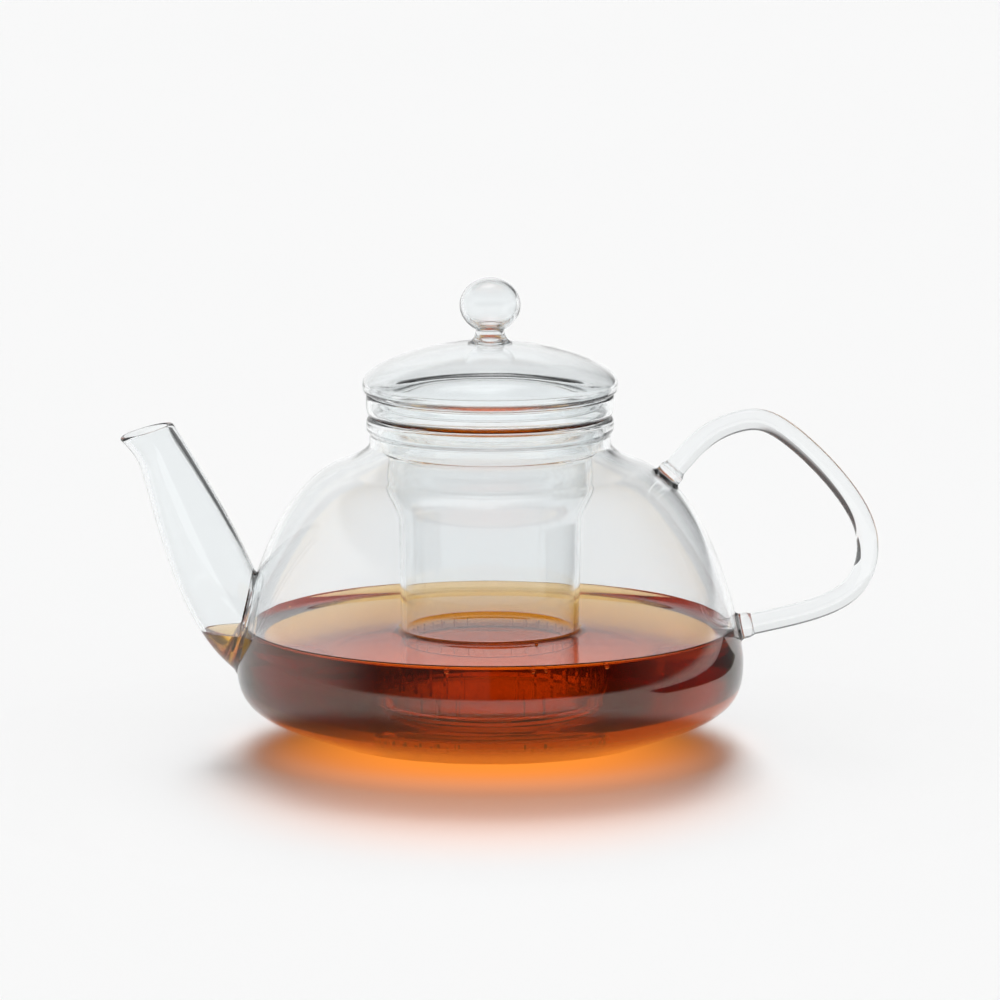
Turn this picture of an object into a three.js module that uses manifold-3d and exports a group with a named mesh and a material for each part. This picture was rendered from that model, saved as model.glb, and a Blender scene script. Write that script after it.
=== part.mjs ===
// Glass teapot with a lift-out infuser and a lid, in millimetres, +Z up.
// Z is the axis of the pot, z = 0 is the table, the spout points to -X and the handle to +X.

import * as THREE from 'three';
import { LoftGeometry } from 'three/addons/geometries/LoftGeometry.js';
import { mergeVertices } from 'three/addons/utils/BufferGeometryUtils.js';
import Module from 'manifold-3d';

// Driving dimensions

const WALL = 2.2; // blown glass of the pot, the spout and the lid
const THIN_WALL = 2.0; // glass of the infuser
const GAP = 0.3; // between pieces that are welded to each other or rest on each other

const FOOT_R = 53.3;
const FOOT_REACH = new THREE.Vector2(21.3, 8.0); // the wall's first direction, out of the foot
const BELLY_R = 82.0;
const BELLY_Z = 24.3;
const BELLY_BELOW = 15.7; // how far the wall stays steep under the belly
const BELLY_ABOVE = 6.1; // and over it
const SHOULDER_R = 50.0;
const SHOULDER_Z = 88.0;
const SHOULDER_SLOPE = new THREE.Vector2(-23.2, 9.1);
const NECK_R = 38.9;
const NECK_BOTTOM_Z = 95.9;
const NECK_TOP_Z = 98.6;
const RIM_R = 39.9;
const RIM_Z = 103.9;
const RIM_BEND = 1.4; // rounding of the bead's outer edge
const RIM_INNER_BEND = 0.8;
const RIM_STEP = 0.4; // start of the bend from the neck out to the bead
const RIM_STEP_TOP = 2.0;

const SPOUT_MOUTH_HALF_WIDTH = 8.3;
const SPOUT_BASE_HALF_WIDTH = 14.2;
const SPOUT_WALL = 1.87;
const SPOUT_LIP = 4.2; // how far the pouring lip reaches out
const SPOUT_LIP_RISE = 1.1; // and how far it lifts
const SPOUT_LIP_SHARE = 0.1; // share of the spout's length that flares into the lip
const SPOUT_HOLE_R = 9.5; // hole in the pot's wall behind the spout
const SPOUT_HOLE_Z = 38.5;
const SPOUT_HOLE_TILT = 0.2; // radians, square to the wall there
const SPOUT_HOLE_LENGTH = 40.0; // of the cutter, well past both sides of the wall
const SPOUT_OVERRUN = 0.03; // share of the spout that the bore's cutter runs on past the mouth

const ROD_R = 3.5;
const ROD_TOP_END = new THREE.Vector2(59.7, 87.2);
const ROD_TOP_ANGLE = 0.87; // radians above +X
const ROD_CREST = new THREE.Vector2(85.9, 103.9);
const ROD_GRIP = new THREE.Vector2(122.3, 62.65);
const ROD_LOW_END = new THREE.Vector2(84.8, 36.1);
const ROD_LOW_ANGLE = 0.21;
const ROD_CREST_ANGLE = 0.19;
// How far the rod keeps its direction before and after each of those four points.
const ROD_TOP_REACH = 13.4;
const ROD_CREST_BEFORE = 16.2;
const ROD_CREST_AFTER = 6.0;
const ROD_GRIP_BEFORE = 15.0;
const ROD_GRIP_AFTER = 17.7;
const ROD_LOW_REACH = 28.9;
const BOSS_REACH = 7.0; // from the rod's end to inside the pot's wall, before it is cut to fit
const UPPER_BOSS_R = 5.4;
const LOWER_BOSS_R = 5.0;
const BOSS_FOOT_LENGTH = 2.6; // straight part of the boss, next to the pot
const BOSS_NOSE_R = 4.3;

const CUP_BOTTOM_Z = 12.0;
const CUP_CORNER = 4.4; // size of the rounded corner under the cup
const CUP_CORNER_EASE = 1.4;
const CUP_R = 28.4;
const CUP_TOP_R = 29.4;
const CUP_TOP_Z = 70.0;
const BULGE_R = 33.2;
const BULGE_Z = 83.0;
const WAIST_R = 31.6;
const WAIST_Z = 89.6;
const INSERT_R = 34.6;
const INSERT_Z = 94.0;
const INSERT_TOP_R = 35.2;
const INSERT_TOP_Z = 101.0;
const COLLAR_R = 40.0;
const COLLAR_Z = 111.5;
const COLLAR_BEND = 2.6; // rounding where the collar turns down onto the pot's rim
const BRIM_BEND = 0.7;
const SLITS = 36;
const SLIT_WIDTH = 0.8;
const SLIT_LOW_Z = 17.0;
const SLIT_HIGH_Z = 30.0;
const SLIT_CUT = 8.0; // depth of the cutter, through the wall

const LID_R = 41.15;
const LID_RIM_Z = 115.0;
const LID_RIM_BEND = 2.0;
const LID_TOP_Z = 128.6;
const DOME_FLAT = 16.0; // how far out from the knob the dome stays flat
const DOME_DROP = 6.0; // how far the dome drops straight down above the rim
const LID_SEAT_Z = COLLAR_Z + GAP;
const SKIRT_R = 36.2;
const SKIRT_Z = 107.4;
const SKIRT_BEND = 0.8;
const HOLLOW_BEND = 1.2; // in the corner between the skirt and the hollow rim

const STEM_R = 5.3;
const STEM_FOOT_R = 6.4;
const BALL_R = 9.8;
const BALL_HALF_HEIGHT = 8.85;
const BALL_Z = 140.3;
const BALL_WALL = 1.5;
const BORE_R = 3.8; // throat of the hollow ball, open through the stem and the dome
const STEM_FLARE = 1.6; // height over which the stem's foot narrows
const STEM_SINK = 3.0; // from the dome's top down to the stem's end, before it is cut to fit

const TEA_Z = 34.2;

const LARGE = 400; // side of a block that is bigger than the teapot

const POT_SEGMENTS = 48;
const SMALL_SEGMENTS = 36;
const CURVE_STEPS = 6; // points along each curve of a large profile
const BEND_STEPS = 2; // points round a small bend

// Solids

const wasm = await Module();
wasm.setup();

function toSolid(geometry) {
  const bare = new THREE.BufferGeometry();
  bare.setAttribute('position', geometry.getAttribute('position'));
  bare.setIndex(geometry.getIndex());
  const merged = mergeVertices(bare, 1e-4);
  const index = merged.index.array;
  const triangles = [];
  for (let i = 0; i < index.length; i += 3) {
    const [a, b, c] = index.slice(i, i + 3);
    if (a !== b && b !== c && c !== a) triangles.push(a, b, c);
  }
  return new wasm.Manifold(new wasm.Mesh({
    numProp: 3,
    vertProperties: merged.attributes.position.array,
    triVerts: Uint32Array.from(triangles),
  }));
}

function toGeometry(solid) {
  const { vertProperties, triVerts } = solid.getMesh();
  const geometry = new THREE.BufferGeometry();
  geometry.setAttribute('position', new THREE.BufferAttribute(vertProperties, 3));
  geometry.setIndex(new THREE.BufferAttribute(triVerts, 1));
  geometry.computeVertexNormals();
  return geometry;
}

// Turns a profile of radius and height about Z. It runs from the axis round the glass to the axis.
function revolve(profile, segments) {
  return new THREE.LatheGeometry(profile, segments).rotateX(Math.PI / 2);
}

// The profile moved sideways by distance, to the left of the way it runs.
function besideProfile(profile, distance) {
  return profile.map((point, i) => {
    const before = profile[Math.max(i - 1, 0)];
    const after = profile[Math.min(i + 1, profile.length - 1)];
    const along = after.clone().sub(before).normalize();
    return new THREE.Vector2(point.x - along.y * distance, point.y + along.x * distance);
  });
}

function at(radius, z) {
  return new THREE.Vector2(radius, z);
}

// Pot

// Outer wall from the edge of the foot, round the belly and over the shoulder, to the neck's top.
function potWall() {
  const wall = new THREE.Path();
  const neckBend = SHOULDER_Z + SHOULDER_SLOPE.y * (NECK_R - SHOULDER_R) / SHOULDER_SLOPE.x;
  wall.moveTo(FOOT_R, 0);
  wall.bezierCurveTo(
    FOOT_R + FOOT_REACH.x, FOOT_REACH.y,
    BELLY_R, BELLY_Z - BELLY_BELOW,
    BELLY_R, BELLY_Z,
  );
  wall.bezierCurveTo(
    BELLY_R, BELLY_Z + BELLY_ABOVE,
    SHOULDER_R - SHOULDER_SLOPE.x, SHOULDER_Z - SHOULDER_SLOPE.y,
    SHOULDER_R, SHOULDER_Z,
  );
  wall.quadraticCurveTo(NECK_R, neckBend, NECK_R, NECK_BOTTOM_Z);
  wall.lineTo(NECK_R, NECK_TOP_Z);
  return wall.getPoints(CURVE_STEPS);
}

function rimBead() {
  const bead = new THREE.Path();
  const inner = NECK_R - WALL;
  bead.moveTo(NECK_R + RIM_STEP, NECK_TOP_Z + RIM_STEP);
  bead.quadraticCurveTo(
    RIM_R, NECK_TOP_Z + RIM_STEP_TOP / 2, RIM_R, NECK_TOP_Z + RIM_STEP_TOP);
  bead.lineTo(RIM_R, RIM_Z - RIM_BEND);
  bead.quadraticCurveTo(RIM_R, RIM_Z, RIM_R - RIM_BEND, RIM_Z);
  bead.lineTo(inner + RIM_INNER_BEND, RIM_Z);
  bead.quadraticCurveTo(inner, RIM_Z, inner, RIM_Z - RIM_INNER_BEND);
  return bead.getPoints(BEND_STEPS);
}

// The full outside of the pot up to its neck, grown by a distance, for cutting what is welded to it.
function potEnvelope(growth) {
  const wall = besideProfile(potWall(), -growth);
  const top = wall.at(-1).y;
  const profile = [at(0, -growth), at(FOOT_R, -growth), ...wall, at(0, top)];
  return toSolid(revolve(profile, POT_SEGMENTS));
}

function potHole(radius) {
  const hole = new THREE.CylinderGeometry(radius, radius, SPOUT_HOLE_LENGTH, 24);
  hole.rotateZ(Math.PI / 2);
  hole.rotateY(SPOUT_HOLE_TILT);
  hole.translate(-BELLY_R, 0, SPOUT_HOLE_Z);
  return toSolid(hole);
}

function potBody() {
  const wall = potWall();
  const inside = besideProfile(wall, WALL).reverse();
  const profile = [at(0, 0), ...wall, ...rimBead(), ...inside, at(0, WALL)];
  const shell = toSolid(revolve(profile, POT_SEGMENTS));
  return toGeometry(shell.subtract(potHole(SPOUT_HOLE_R)));
}

// Spout

// The spout's outline, seen from the side: its upper and lower edges from the mouth into the pot.
const spoutUpperEdge = new THREE.CubicBezierCurve(
  at(-101.9, 101.2), at(-92.0, 85.0), at(-79.5, 64.0), at(-74.0, 48.0),
);
const spoutLowerEdge = new THREE.CubicBezierCurve(
  at(-114.8, 95.2), at(-106.5, 66.0), at(-99.5, 28.0), at(-76.0, 17.5),
);

// One oval ring at a share of the way from the mouth to the pot, drawn in by an inset.
function spoutSection(share, inset, sides) {
  const onCurve = Math.max(share, 0);
  const upper = spoutUpperEdge.getPoint(onCurve);
  const lower = spoutLowerEdge.getPoint(onCurve);
  const flare = Math.max(0, 1 - onCurve / SPOUT_LIP_SHARE) ** 2;
  lower.add(at(-SPOUT_LIP * flare, SPOUT_LIP_RISE * flare));
  const centre = upper.clone().add(lower).multiplyScalar(0.5);
  centre.addScaledVector(spoutUpperEdge.getTangent(0), (share - onCurve) * LARGE / 4);
  const across = upper.clone().sub(lower);
  const halfHeight = across.length() / 2 - inset;
  across.normalize();
  const growth = SPOUT_BASE_HALF_WIDTH - SPOUT_MOUTH_HALF_WIDTH;
  const halfWidth = SPOUT_MOUTH_HALF_WIDTH + growth * onCurve - inset;
  const ring = [];
  for (let i = 0; i < sides; i += 1) {
    const turn = 2 * Math.PI * i / sides;
    const up = halfHeight * Math.cos(turn);
    ring.push(new THREE.Vector3(
      centre.x + across.x * up,
      -halfWidth * Math.sin(turn),
      centre.y + across.y * up,
    ));
  }
  return ring;
}

function spoutSolid(inset, mouthShare) {
  const rings = 14;
  const sections = [];
  for (let i = 0; i <= rings; i += 1) {
    const step = (i / rings) ** 1.4;
    sections.push(spoutSection(mouthShare + (1 - mouthShare) * step, inset, 24));
  }
  return toSolid(new LoftGeometry(sections, { capStart: true, capEnd: true }));
}

function spout() {
  const tube = spoutSolid(0, 0).subtract(spoutSolid(SPOUT_WALL, -SPOUT_OVERRUN));
  return toGeometry(tube.subtract(potEnvelope(GAP)));
}

// Handle

function direction(angle) {
  return at(Math.cos(angle), Math.sin(angle));
}

function ahead(start, angle, distance) {
  return start.clone().add(direction(angle).multiplyScalar(distance));
}

function inPlane(point) {
  return new THREE.Vector3(point.x, 0, point.y);
}

// Centre line of the rod: up from the shoulder, round the grip and back to the wall.
function handlePath() {
  const leaveTop = ahead(ROD_TOP_END, ROD_TOP_ANGLE, ROD_TOP_REACH);
  const reachCrest = ahead(ROD_CREST, ROD_CREST_ANGLE, -ROD_CREST_BEFORE);
  const leaveCrest = ahead(ROD_CREST, ROD_CREST_ANGLE, ROD_CREST_AFTER);
  const reachGrip = at(ROD_GRIP.x, ROD_GRIP.y + ROD_GRIP_BEFORE);
  const leaveGrip = at(ROD_GRIP.x, ROD_GRIP.y - ROD_GRIP_AFTER);
  const reachLowEnd = ahead(ROD_LOW_END, ROD_LOW_ANGLE, ROD_LOW_REACH);
  const stretches = [
    [ROD_TOP_END, leaveTop, reachCrest, ROD_CREST],
    [ROD_CREST, leaveCrest, reachGrip, ROD_GRIP],
    [ROD_GRIP, leaveGrip, reachLowEnd, ROD_LOW_END],
  ];
  const path = new THREE.CurvePath();
  for (const stretch of stretches) {
    path.add(new THREE.CubicBezierCurve3(...stretch.map(inPlane)));
  }
  return path;
}

function handleRod() {
  const section = new THREE.Shape();
  section.absarc(0, 0, ROD_R, 0, 2 * Math.PI);
  return new THREE.ExtrudeGeometry(section, {
    curveSegments: 6,
    steps: 40,
    extrudePath: handlePath(),
  });
}

// A pad of glass between the rod's end and the pot, wider at the pot.
function handleBoss(end, angle, footRadius) {
  const nose = BOSS_REACH - GAP;
  const profile = [
    at(0, 0), at(footRadius, 0), at(footRadius, BOSS_FOOT_LENGTH), at(BOSS_NOSE_R, nose), at(0, nose),
  ];
  const pad = revolve(profile, 24);
  pad.rotateY(Math.PI / 2 - angle);
  const foot = ahead(end, angle, -BOSS_REACH);
  pad.translate(foot.x, 0, foot.y);
  return toGeometry(toSolid(pad).subtract(potEnvelope(GAP)));
}

// Infuser

// Outer wall from the closed bottom, up the cup, over the bulge and the insert, to the collar's top.
function infuserWall() {
  const wall = new THREE.Path();
  const seat = RIM_Z + GAP;
  wall.moveTo(CUP_R - CUP_CORNER, CUP_BOTTOM_Z);
  wall.bezierCurveTo(
    CUP_R - CUP_CORNER_EASE, CUP_BOTTOM_Z,
    CUP_R, CUP_BOTTOM_Z + CUP_CORNER_EASE,
    CUP_R, CUP_BOTTOM_Z + CUP_CORNER,
  );
  wall.lineTo(CUP_TOP_R, CUP_TOP_Z);
  wall.bezierCurveTo(CUP_TOP_R + 0.2, CUP_TOP_Z + 5, BULGE_R, BULGE_Z - 5, BULGE_R, BULGE_Z);
  wall.bezierCurveTo(BULGE_R, BULGE_Z + 3, WAIST_R, WAIST_Z - 2.6, WAIST_R, WAIST_Z);
  wall.bezierCurveTo(WAIST_R, WAIST_Z + 2, INSERT_R, INSERT_Z - 2.5, INSERT_R, INSERT_Z);
  wall.lineTo(INSERT_TOP_R, INSERT_TOP_Z);
  wall.quadraticCurveTo(INSERT_TOP_R + 0.3, seat, INSERT_TOP_R + 2.2, seat);
  wall.quadraticCurveTo(COLLAR_R, seat, COLLAR_R, seat + COLLAR_BEND);
  wall.lineTo(COLLAR_R, COLLAR_Z - BRIM_BEND);
  return wall.getPoints(3);
}

function infuserSlit(turn) {
  const slit = new THREE.BoxGeometry(SLIT_CUT, SLIT_WIDTH, SLIT_HIGH_Z - SLIT_LOW_Z);
  slit.translate(CUP_R, 0, (SLIT_LOW_Z + SLIT_HIGH_Z) / 2);
  slit.rotateZ(turn);
  return toSolid(slit);
}

function infuser() {
  const wall = infuserWall();
  const inside = besideProfile(wall, THIN_WALL).reverse();
  const floor = CUP_BOTTOM_Z + THIN_WALL;
  const brim = [at(COLLAR_R - BRIM_BEND, COLLAR_Z), at(COLLAR_R - THIN_WALL + BRIM_BEND / 2, COLLAR_Z)];
  const profile = [at(0, CUP_BOTTOM_Z), ...wall, ...brim, ...inside, at(0, floor)];
  let cup = toSolid(revolve(profile, SMALL_SEGMENTS));
  for (let i = 0; i < SLITS; i += 1) {
    cup = cup.subtract(infuserSlit(2 * Math.PI * (i + 0.5) / SLITS));
  }
  return toGeometry(cup);
}

// Lid

function lidDome() {
  const dome = new THREE.Path();
  dome.moveTo(0, LID_TOP_Z);
  dome.bezierCurveTo(DOME_FLAT, LID_TOP_Z, LID_R, LID_RIM_Z + DOME_DROP, LID_R, LID_RIM_Z);
  return dome.getPoints(9);
}

// From the dome's edge, under the rim, down the locating skirt and back up inside it.
function lidRim() {
  const rim = new THREE.Path();
  const inner = SKIRT_R - WALL;
  const hollow = LID_SEAT_Z + WALL;
  rim.moveTo(LID_R, LID_RIM_Z);
  rim.quadraticCurveTo(LID_R, LID_SEAT_Z, LID_R - LID_RIM_BEND, LID_SEAT_Z);
  rim.lineTo(SKIRT_R, LID_SEAT_Z);
  rim.lineTo(SKIRT_R, SKIRT_Z + SKIRT_BEND);
  rim.quadraticCurveTo(SKIRT_R, SKIRT_Z, SKIRT_R - SKIRT_BEND, SKIRT_Z);
  rim.lineTo(inner + SKIRT_BEND, SKIRT_Z);
  rim.quadraticCurveTo(inner, SKIRT_Z, inner, SKIRT_Z + SKIRT_BEND);
  rim.lineTo(inner, hollow - HOLLOW_BEND);
  rim.quadraticCurveTo(inner, hollow, inner + HOLLOW_BEND, hollow);
  rim.lineTo(LID_R - WALL - SKIRT_BEND, hollow);
  return rim.getPoints(BEND_STEPS).slice(1);
}

// Upright cutter for the throat, from below the dome up to a height.
function lidBore(topZ) {
  const length = topZ - SKIRT_Z;
  const bore = new THREE.CylinderGeometry(BORE_R, BORE_R, length, 20);
  bore.rotateX(Math.PI / 2);
  bore.translate(0, 0, SKIRT_Z + length / 2);
  return toSolid(bore);
}

function lid() {
  const dome = lidDome();
  const inside = besideProfile(dome, -WALL).reverse();
  inside[inside.length - 1].x = 0;
  const cap = toSolid(revolve([...dome, ...lidRim(), ...inside].reverse(), SMALL_SEGMENTS));
  return toGeometry(cap.subtract(lidBore(LID_TOP_Z + WALL)));
}

function lidEnvelope(growth) {
  const dome = besideProfile(lidDome(), growth);
  dome[0].x = 0;
  return toSolid(revolve([...dome, at(0, LID_RIM_Z)].reverse(), SMALL_SEGMENTS));
}

// The ball's outline from its throat to its top, drawn in by an inset.
function ballOutline(throatRadius, inset, steps) {
  const radius = BALL_R - inset;
  const halfHeight = BALL_HALF_HEIGHT - inset;
  const throat = Math.asin(throatRadius / radius);
  const outline = [];
  for (let i = 0; i < steps; i += 1) {
    const turn = throat + (Math.PI - throat) * i / steps;
    outline.push(at(radius * Math.sin(turn), BALL_Z - halfHeight * Math.cos(turn)));
  }
  outline.push(at(0, BALL_Z + halfHeight));
  return outline;
}

// A hollow ball, slightly flattened, on a stem that spreads where it meets the dome.
function lidKnob() {
  const end = LID_TOP_Z - STEM_SINK;
  const foot = [at(0, end), at(STEM_FOOT_R, end), at(STEM_FOOT_R, LID_TOP_Z)];
  const outline = [...foot, at(STEM_R, LID_TOP_Z + STEM_FLARE), ...ballOutline(STEM_R, 0, 11)];
  const hollow = ballOutline(BORE_R, BALL_WALL, 9);
  const inside = [at(0, hollow[0].y), ...hollow];
  const ball = toSolid(revolve(outline, 28)).subtract(toSolid(revolve(inside, 28)));
  return toGeometry(ball.subtract(lidBore(hollow[0].y + BALL_WALL)).subtract(lidEnvelope(GAP)));
}

// Tea

function below(z) {
  const slab = new THREE.BoxGeometry(LARGE, LARGE, LARGE);
  slab.translate(0, 0, z - LARGE / 2);
  return toSolid(slab);
}

// Everything inside the infuser's outer wall, grown by a distance.
function infuserEnvelope(growth) {
  const wall = besideProfile(infuserWall(), -growth);
  const profile = [at(0, CUP_BOTTOM_Z - growth), ...wall, at(0, COLLAR_Z)];
  return toSolid(revolve(profile, SMALL_SEGMENTS));
}

// The tea outside the infuser, with what has risen in the foot of the spout.
function potTea() {
  const wall = besideProfile(potWall(), WALL + GAP);
  const profile = [at(0, WALL + GAP), ...wall, at(0, wall.at(-1).y)];
  const inPot = toSolid(revolve(profile, POT_SEGMENTS));
  const inSpout = spoutSolid(SPOUT_WALL + GAP, 0).subtract(potEnvelope(GAP));
  const filled = inPot.add(potHole(SPOUT_HOLE_R - GAP).intersect(potEnvelope(2))).add(inSpout);
  return toGeometry(filled.intersect(below(TEA_Z)).subtract(infuserEnvelope(GAP)));
}

function infuserTea() {
  const wall = besideProfile(infuserWall(), THIN_WALL + GAP);
  const floor = CUP_BOTTOM_Z + THIN_WALL + GAP;
  const profile = [at(0, floor), ...wall, at(0, COLLAR_Z)];
  return toGeometry(toSolid(revolve(profile, SMALL_SEGMENTS)).intersect(below(TEA_Z)));
}

// Assembly

function mesh(name, geometry, colour, roughness, opacity) {
  const material = new THREE.MeshStandardMaterial({
    color: new THREE.Color(...colour),
    roughness,
    metalness: 0,
    transparent: true,
    opacity,
  });
  const node = new THREE.Mesh(geometry, material);
  node.name = name;
  return node;
}

function glass(name, geometry) {
  return mesh(name, geometry, [0.93, 0.95, 0.95], 0.03, 0.35);
}

function tea(name, geometry) {
  return mesh(name, geometry, [0.62, 0.2, 0.03], 0.02, 0.8);
}

const pot = new THREE.Group();
pot.add(glass('pot_body', potBody()));
pot.add(glass('spout', spout()));
pot.add(glass('handle', handleRod()));
pot.add(glass('handle_upper_boss', handleBoss(ROD_TOP_END, ROD_TOP_ANGLE, UPPER_BOSS_R)));
pot.add(glass('handle_lower_boss', handleBoss(ROD_LOW_END, ROD_LOW_ANGLE, LOWER_BOSS_R)));
pot.add(tea('pot_tea', potTea()));
pot.add(tea('infuser_tea', infuserTea()));

const cup = new THREE.Group();
cup.add(glass('infuser', infuser()));

const cover = new THREE.Group();
cover.add(glass('lid', lid()));
cover.add(glass('lid_knob', lidKnob()));

const group = new THREE.Group();
group.add(pot, cup, cover);

export default group;
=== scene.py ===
"""A clear glass teapot with an infuser and a lid, part filled with black tea."""

import math

import bmesh
import bpy
import numpy as np
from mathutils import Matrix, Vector


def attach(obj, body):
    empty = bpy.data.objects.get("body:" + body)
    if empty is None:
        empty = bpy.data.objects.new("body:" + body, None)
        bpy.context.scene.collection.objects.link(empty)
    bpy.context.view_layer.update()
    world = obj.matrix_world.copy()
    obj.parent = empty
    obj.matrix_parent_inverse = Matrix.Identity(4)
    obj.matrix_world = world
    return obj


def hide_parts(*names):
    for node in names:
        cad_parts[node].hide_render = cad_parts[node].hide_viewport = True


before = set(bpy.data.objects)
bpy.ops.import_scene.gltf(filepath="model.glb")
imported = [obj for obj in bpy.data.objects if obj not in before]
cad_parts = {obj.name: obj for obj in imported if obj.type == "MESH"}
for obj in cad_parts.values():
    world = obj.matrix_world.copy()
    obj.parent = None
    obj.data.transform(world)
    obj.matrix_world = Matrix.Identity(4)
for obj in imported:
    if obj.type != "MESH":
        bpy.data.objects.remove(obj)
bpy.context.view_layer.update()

# Driving dimensions, in millimetres, in the frame of the CAD model.
# Z is the pot's axis, z = 0 is the table, and the spout points to -X. Angles are in radians, unless a
# comment says degrees.

MM = 0.001
WALL = 2.2  # blown glass of the pot
SPOUT_WALL = 1.87
CUP_WALL = 1.6  # glass of the infuser
LID_WALL = 1.5
WELD = 0.12  # how far a welded piece sinks into the piece that it joins
GAP = 0.3  # between pieces that only rest on each other

FOOT_R = 53.3
FOOT_CORNER = 3.0  # the base starts to round up this far inside the foot
FOOT_REACH = (21.3, 8.0)  # the way out and up in which the wall leaves the foot
BELLY_R = 82.0
BELLY_Z = 24.3
BELLY_PULLS = (15.7, 6.1)  # how far the belly keeps the wall upright, below it and above it
SHOULDER_R = 50.0
SHOULDER_Z = 88.0
SHOULDER_SLOPE = (-23.2, 9.1)
NECK_R = 38.9
NECK_BOTTOM_Z = 95.9
NECK_TOP_Z = 98.6
RIM_R = 39.9
RIM_Z = 103.9
PUNT = 0.9  # how far the middle of the base is pushed up
PUNT_R = 46.0
POT_STEP = 0.9  # between the points of its outline
POT_SEGMENTS = 224

MOUTH_HALF_WIDTH = 8.3
SPOUT_FOOT_HALF_WIDTH = 14.2
LIP = 4.2  # how far the lower edge of the mouth is drawn forward
LIP_RISE = 1.1
LIP_SHARE = 0.1  # of the spout's length
SPOUT_RINGS = 90
SPOUT_CROWDING = 1.3  # above 1, the rings of the tube crowd towards the mouth
SPOUT_FILLET = (2.6, 1.5)  # along the tube and out from it
HOLE_R = 9.5
HOLE_Z = 38.5
HOLE_TILT = 0.2
HOLE_SIDES = 64
HOLE_CUTTER_HALF_LENGTH = 15.0

ROD_R = 3.5
ROD_TOP_END = (59.7, 87.2)
ROD_TOP_ANGLE = 0.87
ROD_CREST = (85.9, 103.9)
ROD_CREST_ANGLE = 0.19
ROD_GRIP = (122.3, 62.65)
ROD_LOW_END = (84.8, 36.1)
ROD_LOW_ANGLE = 0.21
ROD_END_PULLS = (13.4, 28.9)  # how far the rod runs on straight from its top and its low end
ROD_CREST_PULLS = (16.2, 6.0)  # and on the way to and from the crest
ROD_GRIP_PULLS = (15.0, 17.7)
ROD_STEP = 0.8
ROD_SIDES = 48
ROD_SMOOTHING = 60  # rounds that even out the bend where its curves join
UPPER_BOSS_R = 5.4
LOWER_BOSS_R = 5.0
BOSS_STEPS = 14
BOSS_SWELL = 0.35  # near the rod, as a share of how far the boss spreads at the wall
BOSS_SWELL_PACE = 1.3  # the swell is over at 1 / 1.3 of the way to the wall

CUP_BOTTOM_Z = 12.0
CUP_R = 28.4
CUP_TOP_R = 29.4
CUP_TOP_Z = 70.0
CUP_CORNER = 4.4
BULGE_R = 33.2
BULGE_Z = 83.0
WAIST_R = 32.9
WAIST_Z = 89.6
INSERT_R = 34.6
INSERT_Z = 94.0
INSERT_TOP_R = 35.2
INSERT_TOP_Z = 101.0
COLLAR_R = 40.0
COLLAR_Z = 111.5
COLLAR_TURN_R = INSERT_TOP_R + 2.2  # where the collar's foot starts to turn up
COLLAR_FOOT_RISE = 3.6
BRIM_ROUND = 1.0
CUP_STEP = 0.6
SLITS = 36
SLIT_WIDTH = 0.8
SLIT_LOW_Z = 17.0
SLIT_HIGH_Z = 30.0

LID_R = 41.15
LID_RIM_Z = 115.0
LID_TOP_Z = 128.6
DOME_PULLS = (16.0, 6.0)  # level from the axis, and upright above the rim
LID_SEAT_Z = COLLAR_Z + GAP
LID_SEAT_R = LID_R - 3.4  # where the seat starts to turn down into the skirt
SKIRT_R = 36.2
SKIRT_TOP_Z = LID_SEAT_Z - 2.2
SKIRT_Z = 107.4
SKIRT_ROUND = 1.0
DOME_STEP = 0.5
FOLD_STEP = 0.2
LID_SEGMENTS = 240
STEM_FOOT_R = 7.2
BALL_R = 9.8
BALL_HALF_HEIGHT = 8.85
BALL_Z = 140.3
BALL_WALL = 1.0
HOLLOW_RISE = 0.4  # the hollow's middle above the ball's
BORE_R = 3.8  # the way into the hollow ball, through the dome and the stem
PINCH_R = 4.6  # the stem where it meets the ball
THROAT_R = 3.2
KNOB_SEGMENTS = 160

TEA_Z = 34.2
TEA_DEPTH_IN_GLASS = 1.0  # the tea runs this far into the wall, so no film of air is left between them
WALL_CLIMB = 2.6  # how high the tea climbs the pot's wall, and how far from it the climb reaches
WALL_CLIMB_REACH = 2.0
CUP_CLIMB = 1.2
CUP_CLIMB_REACH = 1.2
BUBBLE_RISE = 0.6  # of a bubble's middle above the tea's level

EDGE_ANGLE = 50  # degrees: an edge that bends more than this stays sharp
FINE_EDGE_ANGLE = 40
CUT_EDGE_ANGLE = 35
HALVINGS = 40  # in a search for where a line meets the pot

# Outlines, as arrays of points (radius, z) or (x, z)


def on_bezier(points, share):
    """The point of a Bezier curve at one share of the way, or at each of a column of shares."""
    rows = [np.array(point, float) + 0 * share for point in points]
    while len(rows) > 1:
        rows = [(1 - share) * a + share * b for a, b in zip(rows, rows[1:])]
    return rows[0]


def bezier(points, steps):
    """The curve with these control points, as steps + 1 points along it."""
    return on_bezier(points, np.linspace(0, 1, steps + 1)[:, None])


def joined(*pieces):
    """One outline from several, without the points that two of them share."""
    points = np.concatenate([np.atleast_2d(np.array(piece, float)) for piece in pieces])
    step = np.linalg.norm(np.diff(points, axis=0), axis=1)
    return points[np.concatenate([[True], step > 1e-4])]


def beside(outline, distance):
    """The outline moved sideways by distance, to the left of the way it runs."""
    along = np.gradient(outline, axis=0)
    along /= np.linalg.norm(along, axis=1)[:, None]
    return outline + distance * np.stack([-along[:, 1], along[:, 0]], axis=1)


def even(outline, spacing):
    """The outline with points at equal distances."""
    length = np.concatenate([[0], np.cumsum(np.linalg.norm(np.diff(outline, axis=0), axis=1))])
    at = np.linspace(0, length[-1], max(int(length[-1] / spacing), 2) + 1)
    return np.stack([np.interp(at, length, outline[:, axis]) for axis in (0, 1)], axis=1)


def past(point, angle, distance):
    """The point at a distance from another, in a direction given by an angle above +X."""
    return (point[0] + distance * math.cos(angle), point[1] + distance * math.sin(angle))


# Meshes


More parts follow.
